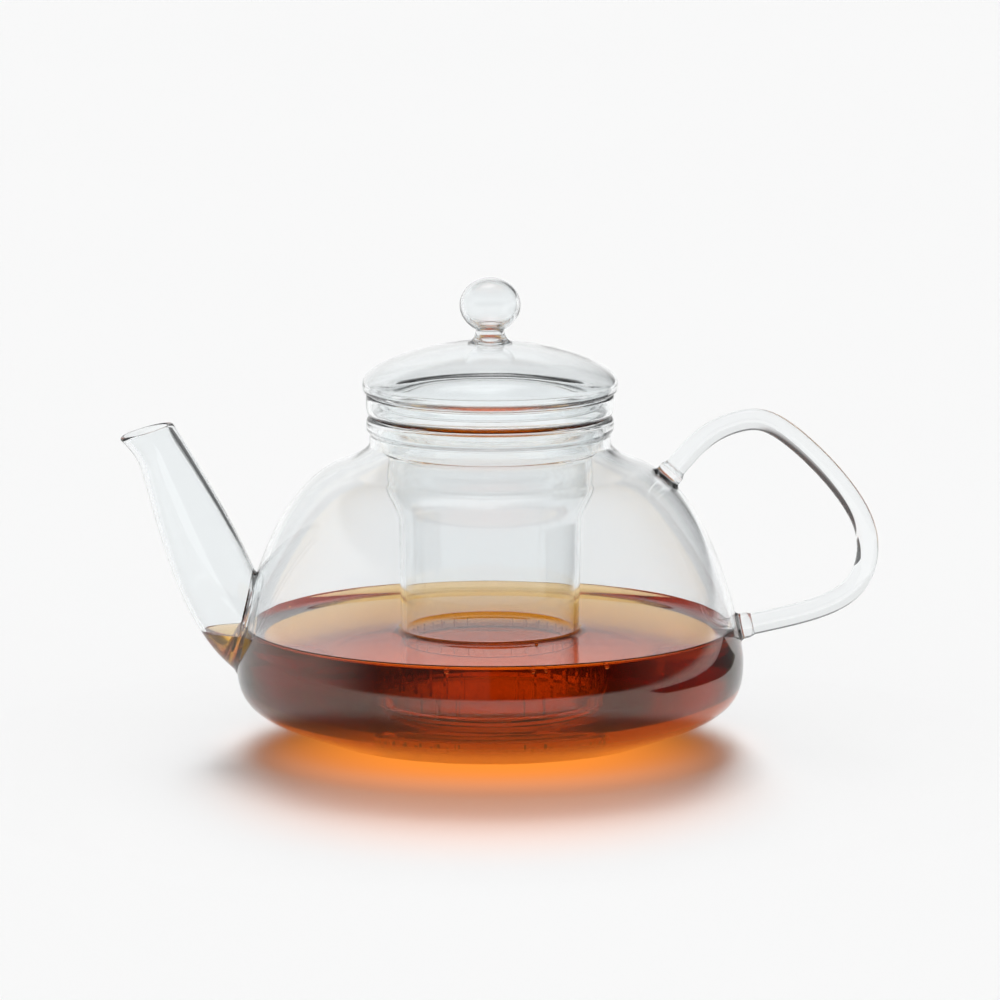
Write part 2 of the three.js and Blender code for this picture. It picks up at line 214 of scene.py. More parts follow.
def placed(name, data):
    """A new object in the scene, from a mesh, a light or a camera."""
    obj = bpy.data.objects.new(name, data)
    bpy.context.scene.collection.objects.link(obj)
    return obj


def make_object(name, vertices, faces, sharp_angle=None):
    """A smooth mesh object from vertices in millimetres. sharp_angle, in degrees, keeps its edges."""
    mesh = bpy.data.meshes.new(name)
    mesh.from_pydata((np.array(vertices) * MM).tolist(), [], faces)
    made = bmesh.new()
    made.from_mesh(mesh)
    bmesh.ops.recalc_face_normals(made, faces=made.faces)
    made.to_mesh(mesh)
    made.free()
    mesh.shade_smooth()
    if sharp_angle:
        mesh.set_sharp_from_angle(angle=math.radians(sharp_angle))
    return placed(name, mesh)


def circle(radius, z, angles):
    """Points round the Z axis at these angles."""
    return [(radius * math.cos(a), radius * math.sin(a), z) for a in angles]


def ring_faces(ring, next_ring):
    """Four-sided faces between two closed rings of vertex numbers."""
    count = len(ring)
    turn = [(i + 1) % count for i in range(count)]
    return [(ring[i], ring[turn[i]], next_ring[turn[i]], next_ring[i]) for i in range(count)]


def lathe(outline, angles):
    """Vertices and rings of vertex numbers for an outline turned about Z. Its ends are on the axis."""
    vertices = [(0, 0, outline[0][1])]
    rings = []
    for radius, z in outline[1:-1]:
        rings.append(list(range(len(vertices), len(vertices) + len(angles))))
        vertices += circle(radius, z, angles)
    vertices.append((0, 0, outline[-1][1]))
    return vertices, rings


def fan(centre, ring):
    """Triangles from one vertex to a closed ring."""
    return [(centre, ring[i], ring[(i + 1) % len(ring)]) for i in range(len(ring))]


def turned(name, outline, segments=192):
    """A solid of revolution. Its outline closes on itself, or has its ends on the axis."""
    angles = np.linspace(0, 2 * math.pi, segments, endpoint=False)
    vertices, rings = [], []
    for radius, z in outline:
        first = len(vertices)
        if radius < 1e-6:
            vertices.append((0, 0, z))
            rings.append([first])
        else:
            vertices += circle(radius, z, angles)
            rings.append(list(range(first, first + segments)))
    faces = []
    for ring, next_ring in zip(rings, rings[1:] + rings[:1]):
        faces += between(ring, next_ring)
    return make_object(name, vertices, faces)


def between(ring, next_ring):
    """Faces between two neighbouring rings, of which one may be a single point on the axis."""
    if len(ring) == 1 and len(next_ring) == 1:
        return []
    if len(ring) == 1:
        return fan(ring[0], next_ring)
    if len(next_ring) == 1:
        return fan(next_ring[0], ring)
    return ring_faces(ring, next_ring)


def lofted(name, rings, sharp_angle=None, closed=False):
    """A skin over rings of points. The ends are closed with fans, or the last ring joins the first."""
    vertices = [point for ring in rings for point in ring]
    count = len(rings[0])
    numbers = [list(range(i * count, (i + 1) * count)) for i in range(len(rings))]
    faces = []
    for ring, next_ring in zip(numbers, numbers[1:] + (numbers[:1] if closed else [])):
        faces += ring_faces(ring, next_ring)
    if not closed:
        for ring in (numbers[0], numbers[-1]):
            vertices.append(tuple(np.mean([vertices[i] for i in ring], axis=0)))
            faces += fan(len(vertices) - 1, ring)
    return make_object(name, vertices, faces, sharp_angle)


def carved(obj, cutter):
    """Cuts obj with the closed mesh cutter, which is then deleted."""
    tool = obj.modifiers.new("cut", "BOOLEAN")
    tool.object = cutter
    tool.operation = "DIFFERENCE"
    tool.solver = "EXACT"
    result = obj.evaluated_get(bpy.context.evaluated_depsgraph_get())
    mesh = bpy.data.meshes.new_from_object(result)
    obj.modifiers.clear()
    obj.data = mesh
    mesh.set_sharp_from_angle(angle=math.radians(CUT_EDGE_ANGLE))
    bpy.data.objects.remove(cutter)
    return obj


# Pot


def pot_outside():
    """The outer wall: base, foot, belly, shoulder and neck."""
    foot = (FOOT_R, 0.0)
    out = (FOOT_R + FOOT_REACH[0], FOOT_REACH[1])
    belly = (BELLY_R, BELLY_Z)
    rounded_off = 8  # steps of the wall that the rounded corner takes the place of
    wall = bezier([foot, out, (BELLY_R, BELLY_Z - BELLY_PULLS[0]), belly], 200)[rounded_off:]
    shoulder = (SHOULDER_R, SHOULDER_Z)
    before = (SHOULDER_R - SHOULDER_SLOPE[0], SHOULDER_Z - SHOULDER_SLOPE[1])
    upper = bezier([belly, (BELLY_R, BELLY_Z + BELLY_PULLS[1]), before, shoulder], 200)
    bend = SHOULDER_Z + SHOULDER_SLOPE[1] * (NECK_R - SHOULDER_R) / SHOULDER_SLOPE[0]
    neck = bezier([shoulder, (NECK_R, bend), (NECK_R, NECK_BOTTOM_Z)], 40)
    base = bezier([(0, PUNT), (PUNT_R / 2, PUNT), (PUNT_R * 0.7, 0), (PUNT_R, 0)], 40)
    corner = bezier([(FOOT_R - FOOT_CORNER, 0), foot, wall[0]], 12)
    return joined(base, corner, wall, upper, neck, (NECK_R, NECK_TOP_Z - 0.4))


def rim_bead():
    """The thickened rim, from the top of the neck outside to the wall inside."""
    inner = NECK_R - WALL
    return joined(
        bezier([(NECK_R, NECK_TOP_Z - 0.3), (NECK_R, NECK_TOP_Z + 0.6),
                (RIM_R, NECK_TOP_Z + 0.8), (RIM_R, NECK_TOP_Z + 2.0)], 8),
        bezier([(RIM_R, RIM_Z - 1.8), (RIM_R, RIM_Z), (RIM_R - 1.6, RIM_Z)], 8),
        bezier([(inner + 1.1, RIM_Z), (inner, RIM_Z), (inner, RIM_Z - 1.2)], 8),
    )


POT_OUTSIDE = even(pot_outside(), POT_STEP)
WALL_RISE = POT_OUTSIDE[POT_OUTSIDE[:, 0] > FOOT_R - 4.0]  # from the foot to the shoulder


def pot_radius(z, inset=0.0):
    """The outer radius of the pot at a height, less an inset."""
    return float(np.interp(z, WALL_RISE[:, 1], WALL_RISE[:, 0])) - inset


def meet_pot(start, direction, inset=0.0, reach=60.0):
    """How far from start, outside the pot, the line in direction meets the pot's wall."""
    near, far = 0.0, reach
    for _ in range(HALVINGS):
        middle = (near + far) / 2
        point = start + direction * middle
        inside = math.hypot(point[0], point[1]) < pot_radius(point[2], inset)
        near, far = (near, middle) if inside else (middle, far)
    return near


def onto_pot(point, inset=0.0):
    """The point moved level, to or from the axis, onto the pot's wall."""
    share = pot_radius(point[2], inset) / math.hypot(point[0], point[1])
    return np.array([point[0] * share, point[1] * share, point[2]])


def spout_hole():
    """The cutter for the hole behind the spout, square to the wall."""
    axis = np.array([-math.cos(HOLE_TILT), 0, math.sin(HOLE_TILT)])
    up = np.array([math.sin(HOLE_TILT), 0, math.cos(HOLE_TILT)])
    centre = np.array([-BELLY_R, 0, HOLE_Z])
    rings = []
    for along in (-HOLE_CUTTER_HALF_LENGTH, HOLE_CUTTER_HALF_LENGTH):
        ring = [
            centre + axis * along + HOLE_R * (up * math.cos(a) + np.array([0, math.sin(a), 0]))
            for a in np.linspace(0, 2 * math.pi, HOLE_SIDES, endpoint=False)
        ]
        rings.append([tuple(point) for point in ring])
    return lofted("spout_hole", rings)


def make_pot():
    """The vessel, with the hole to the spout."""
    inside = beside(POT_OUTSIDE, WALL)
    inside[0][0] = 0
    outline = joined(POT_OUTSIDE, rim_bead(), inside[::-1])
    return carved(turned("pot_glass", outline, POT_SEGMENTS), spout_hole())


# Spout: the control points, (x, z), of its upper and lower edges, from the mouth to inside the pot

SPOUT_UPPER = [(-101.9, 101.2), (-92.0, 85.0), (-79.5, 64.0), (-74.0, 48.0)]
SPOUT_LOWER = [(-114.8, 95.2), (-106.5, 66.0), (-99.5, 28.0), (-76.0, 17.5)]
SPOUT_SIDES = 192


def spout_point(share, turn, inset):
    """A point on the oval tube, at a share of the way from the mouth to the pot."""
    upper = on_bezier(SPOUT_UPPER, share)
    lower = on_bezier(SPOUT_LOWER, share)
    flare = max(0.0, 1 - share / LIP_SHARE) ** 2
    lower = lower + np.array([-LIP, LIP_RISE]) * flare
    centre = (upper + lower) / 2
    across = upper - lower
    height = np.linalg.norm(across)
    across /= height
    up = (height / 2 - inset) * math.cos(turn)
    growth = SPOUT_FOOT_HALF_WIDTH - MOUTH_HALF_WIDTH
    side = (MOUTH_HALF_WIDTH + growth * share - inset) * math.sin(turn)
    return np.array([centre[0] + across[0] * up, side, centre[1] + across[1] * up])


def spout_end(turn, inset, pot_inset):
    """The share at which a line along the tube's wall meets the pot."""
    near, far = 0.3, 1.0  # clear of the pot, and inside it
    for _ in range(HALVINGS):
        middle = (near + far) / 2
        point = spout_point(middle, turn, inset)
        inside = math.hypot(point[0], point[1]) < pot_radius(point[2], pot_inset)
        near, far = (near, middle) if inside else (middle, far)
    return near


def spout_rings(inset, pot_inset, steps):
    """Rings of the tube from its mouth to the pot's wall."""
    turns = np.linspace(0, 2 * math.pi, SPOUT_SIDES, endpoint=False)
    ends = [spout_end(turn, inset, pot_inset) for turn in turns]
    shares = np.linspace(0, 1, steps + 1) ** SPOUT_CROWDING
    return [
        [spout_point(end * share, turn, inset) for turn, end in zip(turns, ends)]
        for share in shares
    ]


def ring_normals(rings, i):
    """Outward directions at ring i, square to the tube's wall."""
    before = np.array(rings[max(i - 1, 0)])
    after = np.array(rings[min(i + 1, len(rings) - 1)])
    here = np.array(rings[i])
    along = after - before
    around = np.roll(here, -1, axis=0) - np.roll(here, 1, axis=0)
    normal = np.cross(around, along)
    normal /= np.linalg.norm(normal, axis=1)[:, None]
    outward = np.einsum("ij,ij->i", normal, here - here.mean(axis=0))
    return normal * np.sign(outward.mean())


def fillet_onto_pot(rings, length, width, inset, steps=7):
    """Replaces the end of a tube with a hollow-sided fillet that spreads onto the pot."""
    base = np.array(rings[-1])
    before = np.array(rings[-3])
    along = base - before
    along /= np.linalg.norm(along, axis=1)[:, None]
    normal = ring_normals(rings, len(rings) - 1)
    clear = length * 1.05
    kept = [ring for ring in rings if np.linalg.norm(np.array(ring) - base, axis=1).min() > clear]
    made = []
    for i in range(steps + 1):
        turn = math.pi / 2 * i / steps
        back = length * (1 - math.sin(turn))
        out = width * (1 - math.cos(turn))
        points = base - along * back + normal * out
        settled = np.array([onto_pot(point, inset) for point in points])
        weight = (i / steps) ** 3
        made.append((points * (1 - weight) + settled * weight).tolist())
    return kept + made


def lip_rings(outer, inner, steps=6):
    """A half-round edge from the first outer ring to the first inner ring."""
    outer, inner = np.array(outer), np.array(inner)
    middle = (outer + inner) / 2
    half = (outer - inner) / 2
    direction = on_bezier(SPOUT_UPPER, 0) - on_bezier(SPOUT_UPPER, 0.05)
    direction /= np.linalg.norm(direction)
    forward = np.array([direction[0], 0, direction[1]])
    radius = np.linalg.norm(half, axis=1)[:, None]
    rings = []
    for i in range(1, steps):
        turn = math.pi * i / steps
        rings.append((middle + half * math.cos(turn) + forward * radius * math.sin(turn)).tolist())
    return rings


def make_spout():
    """The tube, with a round edge at the mouth and a fillet at the pot."""
    outer = spout_rings(0.0, WELD, SPOUT_RINGS)
    outer = fillet_onto_pot(outer, *SPOUT_FILLET, WELD)
    inner = spout_rings(SPOUT_WALL, WELD, SPOUT_RINGS)
    edge = lip_rings(outer[0], inner[0])
    return lofted("spout_glass", outer[::-1] + edge + inner, EDGE_ANGLE, closed=True)


# Handle


def handle_path():
    """Centre line of the rod: up from the shoulder, round the grip and back to the wall."""
    leave_top = past(ROD_TOP_END, ROD_TOP_ANGLE, ROD_END_PULLS[0])
    reach_crest = past(ROD_CREST, ROD_CREST_ANGLE, -ROD_CREST_PULLS[0])
    leave_crest = past(ROD_CREST, ROD_CREST_ANGLE, ROD_CREST_PULLS[1])
    reach_grip = (ROD_GRIP[0], ROD_GRIP[1] + ROD_GRIP_PULLS[0])
    leave_grip = (ROD_GRIP[0], ROD_GRIP[1] - ROD_GRIP_PULLS[1])
    reach_low = past(ROD_LOW_END, ROD_LOW_ANGLE, ROD_END_PULLS[1])
    path = joined(
        bezier([ROD_TOP_END, leave_top, reach_crest, ROD_CREST], 80),
        bezier([ROD_CREST, leave_crest, reach_grip, ROD_GRIP], 80),
        bezier([ROD_GRIP, leave_grip, reach_low, ROD_LOW_END], 80),
    )
    path = even(path, ROD_STEP)
    for _ in range(ROD_SMOOTHING):
        path[1:-1] = (path[:-2] + 2 * path[1:-1] + path[2:]) / 4
    return even(path, ROD_STEP)


def make_rod():
    """The solid glass rod of the handle."""
    path = handle_path()
    along = np.gradient(path, axis=0)
    along /= np.linalg.norm(along, axis=1)[:, None]
    angles = np.linspace(0, 2 * math.pi, ROD_SIDES, endpoint=False)
    rings = []
    for (x, z), (tx, tz) in zip(path, along):
        rings.append([
            (x - tz * ROD_R * math.cos(a), ROD_R * math.sin(a), z + tx * ROD_R * math.cos(a))
            for a in angles
        ])
    return lofted("handle_rod", rings, EDGE_ANGLE)


def make_boss(name, end, angle, foot_radius):
    """The weld between the rod's end and the pot: a swelling at the rod that spreads onto the wall."""
    toward = np.array([-math.cos(angle), 0, -math.sin(angle)])
    up = np.array([-math.sin(angle), 0, math.cos(angle)])
    centre = np.array([end[0], 0, end[1]])
    turns = np.linspace(0, 2 * math.pi, ROD_SIDES, endpoint=False)
    rings = []
    for i in range(BOSS_STEPS + 1):
        share = i / BOSS_STEPS
        bulge = BOSS_SWELL * math.sin(math.pi * min(share * BOSS_SWELL_PACE, 1))
        swell = (foot_radius - ROD_R) * (bulge + share ** 3)
        ring = []
        for a in turns:
            out = up * math.cos(a) + np.array([0, math.sin(a), 0])
            start = centre - toward * WELD + out * (ROD_R + swell)
            ring.append(tuple(start + toward * share * meet_pot(start, toward, WELD)))
        rings.append(ring)
    return lofted(name, rings, EDGE_ANGLE)


# Infuser


def infuser_outside():
    """The outside of the cup, from the middle of its bottom to the top of the collar."""
    corner = CUP_R - CUP_CORNER
    seat = RIM_Z + GAP
    return joined(
        (0, CUP_BOTTOM_Z),
        bezier([(corner, CUP_BOTTOM_Z), (CUP_R - 1.4, CUP_BOTTOM_Z),
                (CUP_R, CUP_BOTTOM_Z + 1.4), (CUP_R, CUP_BOTTOM_Z + CUP_CORNER)], 14),
        (CUP_TOP_R, CUP_TOP_Z),
        bezier([(CUP_TOP_R, CUP_TOP_Z), (CUP_TOP_R + 0.2, CUP_TOP_Z + 5),
                (BULGE_R, BULGE_Z - 5), (BULGE_R, BULGE_Z)], 30),
        bezier([(BULGE_R, BULGE_Z), (BULGE_R, BULGE_Z + 3),
                (WAIST_R, WAIST_Z - 2.6), (WAIST_R, WAIST_Z)], 20),
        bezier([(WAIST_R, WAIST_Z), (WAIST_R, WAIST_Z + 2),
                (INSERT_R, INSERT_Z - 2.5), (INSERT_R, INSERT_Z)], 14),
        (INSERT_TOP_R, INSERT_TOP_Z),
        bezier([(INSERT_TOP_R, INSERT_TOP_Z), (INSERT_TOP_R + 0.3, seat), (COLLAR_TURN_R, seat)], 12),
        bezier([(COLLAR_TURN_R, seat), (COLLAR_R, seat), (COLLAR_R, seat + COLLAR_FOOT_RISE)], 16),
        (COLLAR_R, COLLAR_Z - BRIM_ROUND),
    )


def infuser_outline():
    """The cup's wall in section: up the outside, over the brim and down the inside."""
    outside = even(infuser_outside(), CUP_STEP)
    inside = beside(outside, CUP_WALL)
    inside[0][0] = 0
    inner = COLLAR_R - CUP_WALL
    top = (inner + BRIM_ROUND, COLLAR_Z)
    brim = joined(
        bezier([(COLLAR_R, COLLAR_Z - BRIM_ROUND), (COLLAR_R, COLLAR_Z), top], 6),
        bezier([top, (inner, COLLAR_Z), (inner, COLLAR_Z - BRIM_ROUND)], 6),
    )
    return joined(outside, brim, inside[::-1])


def slit_angles():
    """Angles round the cup: each slit has one narrow step, and the wall between slits has five."""
    half = SLIT_WIDTH / 2 / CUP_R
    pitch = 2 * math.pi / SLITS
    angles = []
    for i in range(SLITS):
        middle = (i + 0.5) * pitch
        angles += [middle - half, middle + half]
        angles += list(np.linspace(middle + half, middle + pitch - half, 6)[1:-1])
    return angles


def make_infuser():
    """The cup, with its slits left open through the wall."""
    outline = infuser_outline()
    angles = slit_angles()
    per_slit = len(angles) // SLITS
    vertices, rings = lathe(outline, angles)
    faces = fan(0, rings[0]) + fan(len(vertices) - 1, rings[-1])
    side_wall_r = CUP_R - CUP_WALL - 1
    in_slit = [
        SLIT_LOW_Z < z < SLIT_HIGH_Z and radius > side_wall_r for radius, z in outline[1:-1]
    ]
    rows = [i for i in range(len(rings) - 1) if in_slit[i] and in_slit[i + 1]]
    for i, (ring, next_ring) in enumerate(zip(rings, rings[1:])):
        strip = ring_faces(ring, next_ring)
        keep = [k for k in range(len(strip)) if i not in rows or k % per_slit]
        faces += [strip[k] for k in keep]
    outer_rows = [i for i in rows if i < len(rings) // 2]
    inner_rows = [i for i in rows if i >= len(rings) // 2][::-1]
    outer = [outer_rows[0]] + [i + 1 for i in outer_rows]
    inner = [inner_rows[0] + 1] + inner_rows
    faces += slit_walls(rings, outer, inner, per_slit, len(angles))
    return make_object("infuser_glass", vertices, faces, FINE_EDGE_ANGLE)


def slit_walls(rings, outer, inner, per_slit, count):
    """The faces inside each slit: two sides, a sill and a top."""
    faces = []
    for start in range(0, count, per_slit):
        for column in (start, (start + 1) % count):
            loop = [rings[a][column] for a in outer] + [rings[b][column] for b in inner[::-1]]
            faces.append(tuple(loop))
        for a, b in ((outer[0], inner[0]), (outer[-1], inner[-1])):
            left, right = start, (start + 1) % count
            faces.append((rings[a][left], rings[a][right], rings[b][right], rings[b][left]))
    return faces


# Lid


def dome_outside():
    """The top of the lid, from the axis out to its widest place."""
    return bezier([(0, LID_TOP_Z), (DOME_PULLS[0], LID_TOP_Z),
                   (LID_R, LID_RIM_Z + DOME_PULLS[1]), (LID_R, LID_RIM_Z)], 160)


def dome_height(radius):
    """How high the top of the lid is at a radius."""
    dome = dome_outside()
    return float(np.interp(radius, dome[:, 0], dome[:, 1]))


def make_lid():
    """The dome, its rim folded under to a seat, and the skirt: one blown shell of even thickness."""
    fold = joined(
        bezier([(LID_R, LID_RIM_Z), (LID_R, LID_SEAT_Z + 0.3), (LID_R - 0.5, LID_SEAT_Z),
                (LID_SEAT_R, LID_SEAT_Z)], 40),
        bezier([(LID_SEAT_R, LID_SEAT_Z), (SKIRT_R + 0.2, LID_SEAT_Z), (SKIRT_R, LID_SEAT_Z - 1.0),
                (SKIRT_R, SKIRT_TOP_Z)], 40),
        (SKIRT_R, SKIRT_Z + SKIRT_ROUND),
    )
    outside = joined(even(dome_outside(), DOME_STEP), even(fold, FOLD_STEP))
    inside = beside(outside, -LID_WALL)
    outside = outside[outside[:, 0] > BORE_R]
    inside = inside[inside[:, 0] > BORE_R]
    edge = bezier([outside[-1], (SKIRT_R, SKIRT_Z), (SKIRT_R - LID_WALL, SKIRT_Z), inside[-1]], 10)
    return turned("lid_glass", joined(outside, edge, inside[::-1]), LID_SEGMENTS)


def make_knob():
    """A flattened hollow ball, thickest below, pinched in where it sits on a short open stem."""
    under = [(r, dome_height(r) - WELD) for r in np.linspace(BORE_R, STEM_FOOT_R, 6)]
    ball = ball_outline(PINCH_R, BALL_R, BALL_HALF_HEIGHT, BALL_Z)
    hollow_half_height = BALL_HALF_HEIGHT - BALL_WALL - HOLLOW_RISE / 2
    hollow_z = BALL_Z + HOLLOW_RISE
    hollow = ball_outline(THROAT_R, BALL_R - BALL_WALL, hollow_half_height, hollow_z)[::-1]
    foot = bezier([under[-1], (PINCH_R + 1.1, LID_TOP_Z + 0.3),
                   (PINCH_R, LID_TOP_Z + 1.6), ball[0]], 20)
    throat = bezier([hollow[-1], (THROAT_R, hollow[-1][1] - 1.2),
                     (BORE_R, LID_TOP_Z + 2.4), (BORE_R, LID_TOP_Z + 0.6)], 16)
    return turned("lid_knob_glass", joined(foot, ball, hollow, throat, under[:-1]), KNOB_SEGMENTS)


def ball_outline(throat, radius, half_height, middle):
    """Half the outline of a flattened ball, from its throat to its top."""
    turns = np.linspace(math.asin(throat / radius), math.pi, 90)
    ball = [(radius * math.sin(t), middle - half_height * math.cos(t)) for t in turns]
    ball[-1] = (0, middle + half_height)
    return ball


# Tea


def meniscus(distance, height, reach):
    """How far the surface climbs at a distance from glass."""
    return height * np.exp(-np.abs(distance) / reach)


def make_pot_tea():
    """All the tea in the pot. Its surface climbs the wall and both faces of the infuser."""
    wall = beside(POT_OUTSIDE, TEA_DEPTH_IN_GLASS)
    wall[0][0] = 0
    wall = wall[wall[:, 1] < TEA_Z + WALL_CLIMB]
    edge = wall[-1][0]
    glass = pot_radius(TEA_Z) - WALL
    up_the_cup = (TEA_Z - CUP_BOTTOM_Z) / (CUP_TOP_Z - CUP_BOTTOM_Z)
    cup_outside = CUP_R + (CUP_TOP_R - CUP_R) * up_the_cup
    cup_inside = cup_outside - CUP_WALL
    radii = np.concatenate([  # closer together near glass
        np.linspace(edge, glass - 8, 40),
        np.linspace(glass - 9, cup_outside + 6, 30),
        np.linspace(cup_outside + 5.5, cup_inside - 5.5, 70),
        np.linspace(cup_inside - 7, 0, 16),
    ])
    outside_cup = meniscus(np.maximum(radii - cup_outside, 0), CUP_CLIMB, CUP_CLIMB_REACH)
    inside_cup = meniscus(np.maximum(cup_inside - radii, 0), CUP_CLIMB, CUP_CLIMB_REACH)
    height = meniscus(np.minimum(radii - glass, 0), WALL_CLIMB, WALL_CLIMB_REACH)
    height += outside_cup * (radii >= cup_inside)
    height += inside_cup * (radii < cup_inside)
    surface = np.stack([radii, TEA_Z + height], axis=1)
    return turned("tea_in_pot", joined(wall, surface))


def make_spout_tea():
    """The tea that has risen in the foot of the spout, up to the level in the pot."""
    half_wall = SPOUT_WALL / 2
    rings = spout_rings(half_wall, TEA_DEPTH_IN_GLASS + 0.1, 60)
    above_cut = TEA_Z + 12
    low = [ring for ring in rings if min(point[2] for point in ring) < above_cut]
    tea = lofted("tea_in_spout", low, FINE_EDGE_ANGLE)
    made = bmesh.new()
    made.from_mesh(tea.data)
    cut = bmesh.ops.bisect_plane(
        made,
        geom=made.verts[:] + made.edges[:] + made.faces[:],
        plane_co=(0, 0, TEA_Z * MM),
        plane_no=(0, 0, 1),
        clear_outer=True,
    )
    edges = [part for part in cut["geom_cut"] if isinstance(part, bmesh.types.BMEdge)]
    bmesh.ops.holes_fill(made, edges=edges, sides=0)
    bmesh.ops.recalc_face_normals(made, faces=made.faces)
    made.to_mesh(tea.data)
    made.free()
    tea.data.set_sharp_from_angle(angle=math.radians(FINE_EDGE_ANGLE))
    return tea


def make_bubbles():
    """Small bubbles that float against the glass."""
    glass = pot_radius(TEA_Z) - WALL
    cup = CUP_R + 0.4
    places = [  # distance from the axis, degrees round it from +X, and radius
        (glass - 0.9, -100, 0.9), (glass - 0.8, -80, 0.8), (glass - 0.7, -77, 0.6),
        (glass - 0.9, -62, 0.9), (glass - 0.8, 150, 0.7), (glass - 0.8, 20, 0.7),
        (cup + 0.8, -60, 0.6), (cup + 0.7, 115, 0.5),
    ]
    made = bmesh.new()
    for radius, degrees, size in places:
        turn = math.radians(degrees)
        sphere = bmesh.ops.create_icosphere(made, subdivisions=3, radius=size * MM)
        place = Vector((radius * math.cos(turn), radius * math.sin(turn), TEA_Z + BUBBLE_RISE)) * MM
        bmesh.ops.translate(made, verts=sphere["verts"], vec=place)
    mesh = bpy.data.meshes.new("tea_bubbles")
    made.to_mesh(mesh)
    made.free()
    mesh.shade_smooth()
    return placed("tea_bubbles", mesh)


# Materials

GLASS_IOR = 1.47
TEA_IOR = 1.33
DROWNED_IOR = 1.105  # glass as seen from inside tea
CLEAR_TINT = (0.968, 0.986, 0.994)
CLEAR_LIFT = 1.012  # how much paler a tint's patches are
CUP_TINT = (0.972, 0.987, 0.992)
TEA_TINT = (1.0, 0.76, 0.48)  # what passes its surface
TEA_PASSES = (0.933, 0.778, 0.2)  # what passes its depth
TEA_DENSITY = 90.0
WAVE_SCALE = 45.0
CLOUD_SCALE = 18.0
RIPPLE_SCALE = 30.0
RIPPLES = 0.01
WAVE_DEPTH = 0.004
FLOOR_TONES = (0.895, 0.905)
FLOOR_MOTTLE = 3.0


def add_node(tree, kind, settings=None, **inputs):
    """A shader node. An input takes a value, or the socket that drives it."""
    node = tree.nodes.new(kind)
    for key, value in (settings or {}).items():
        setattr(node, key, value)
    for key, value in inputs.items():
        socket = node.inputs[key.replace("_", " ")]
        if isinstance(value, bpy.types.NodeSocket):
            tree.links.new(value, socket)
        else:
            socket.default_value = value
    return node


def empty_material(name):
    """A material without nodes, and its node tree."""
    material = bpy.data.materials.new(name)
    material.use_nodes = True
    material.node_tree.nodes.clear()
    return material, material.node_tree


def patchy(tree, factor, one, other):
    """A colour that wanders between two."""
    mix = add_node(tree, "ShaderNodeMix", {"data_type": "RGBA"}, Factor=factor)
    mix.inputs["A"].default_value = (*one, 1)
    mix.inputs["B"].default_value = (*other, 1)
    return mix.outputs["Result"]


def blown_glass(name, tint, waviness=0.02, drowned_ior=None):
    """Clear glass with the faint waves that blowing and flame polishing leave.

    drowned_ior, if given, is its refractive index below the tea's level.
    """
    material, tree = empty_material(name)
    place = add_node(tree, "ShaderNodeNewGeometry")
    spot = add_node(tree, "ShaderNodeTexCoord")
    waves = add_node(tree, "ShaderNodeTexNoise", Vector=spot.outputs["Object"],
                     Scale=WAVE_SCALE, Detail=1.0, Roughness=0.4)
    bump = add_node(tree, "ShaderNodeBump", Strength=waviness, Distance=WAVE_DEPTH,
                    Height=waves.outputs["Fac"])
    cloud = add_node(tree, "ShaderNodeTexNoise", Vector=spot.outputs["Object"],
                     Scale=CLOUD_SCALE, Detail=2.0)
    paler = [min(1.0, c * CLEAR_LIFT) for c in tint]
    colour = patchy(tree, cloud.outputs["Fac"], tint, paler)
    shader = add_node(tree, "ShaderNodeBsdfPrincipled", Roughness=0.0, IOR=GLASS_IOR,
                      Transmission_Weight=1.0, Normal=bump.outputs["Normal"])
    tree.links.new(colour, shader.inputs["Base Color"])
    if drowned_ior:
        height = add_node(tree, "ShaderNodeSeparateXYZ", Vector=place.outputs["Position"])
        ior = add_node(tree, "ShaderNodeMapRange", Value=height.outputs["Z"],
                       From_Min=(TEA_Z - 0.1) * MM, From_Max=(TEA_Z + 0.1) * MM,
                       To_Min=drowned_ior, To_Max=GLASS_IOR)
        tree.links.new(ior.outputs["Result"], shader.inputs["IOR"])
    add_node(tree, "ShaderNodeOutputMaterial", Surface=shader.outputs["BSDF"])
    return material


def black_tea(name):
    """A clear liquid that takes out blue, then green, then red."""
    material, tree = empty_material(name)
    spot = add_node(tree, "ShaderNodeTexCoord")
    ripple = add_node(tree, "ShaderNodeTexNoise", Vector=spot.outputs["Object"],
                      Scale=RIPPLE_SCALE, Detail=1.0)
    bump = add_node(tree, "ShaderNodeBump", Strength=RIPPLES, Distance=WAVE_DEPTH,
                    Height=ripple.outputs["Fac"])
    shader = add_node(tree, "ShaderNodeBsdfPrincipled", Roughness=0.0, IOR=TEA_IOR,
                      Transmission_Weight=1.0, Normal=bump.outputs["Normal"])
    shader.inputs["Base Color"].default_value = (*TEA_TINT, 1)
    volume = add_node(tree, "ShaderNodeVolumeAbsorption", Density=TEA_DENSITY)
    volume.inputs["Color"].default_value = (*TEA_PASSES, 1)
    add_node(tree, "ShaderNodeOutputMaterial", Surface=shader.outputs["BSDF"],
             Volume=volume.outputs["Volume"])
    return material


def pale_floor():
    """A matt, nearly white floor without a seam."""
    material, tree = empty_material("pale_floor")
    spot = add_node(tree, "ShaderNodeTexCoord")
    mottle = add_node(tree, "ShaderNodeTexNoise", Vector=spot.outputs["Object"], Scale=FLOOR_MOTTLE)
    one, other = ((tone, tone, tone) for tone in FLOOR_TONES)
    colour = patchy(tree, mottle.outputs["Fac"], one, other)
    shader = add_node(tree, "ShaderNodeBsdfDiffuse")
    tree.links.new(colour, shader.inputs["Color"])
    add_node(tree, "ShaderNodeOutputMaterial", Surface=shader.outputs["BSDF"])
    return material


# Pieces


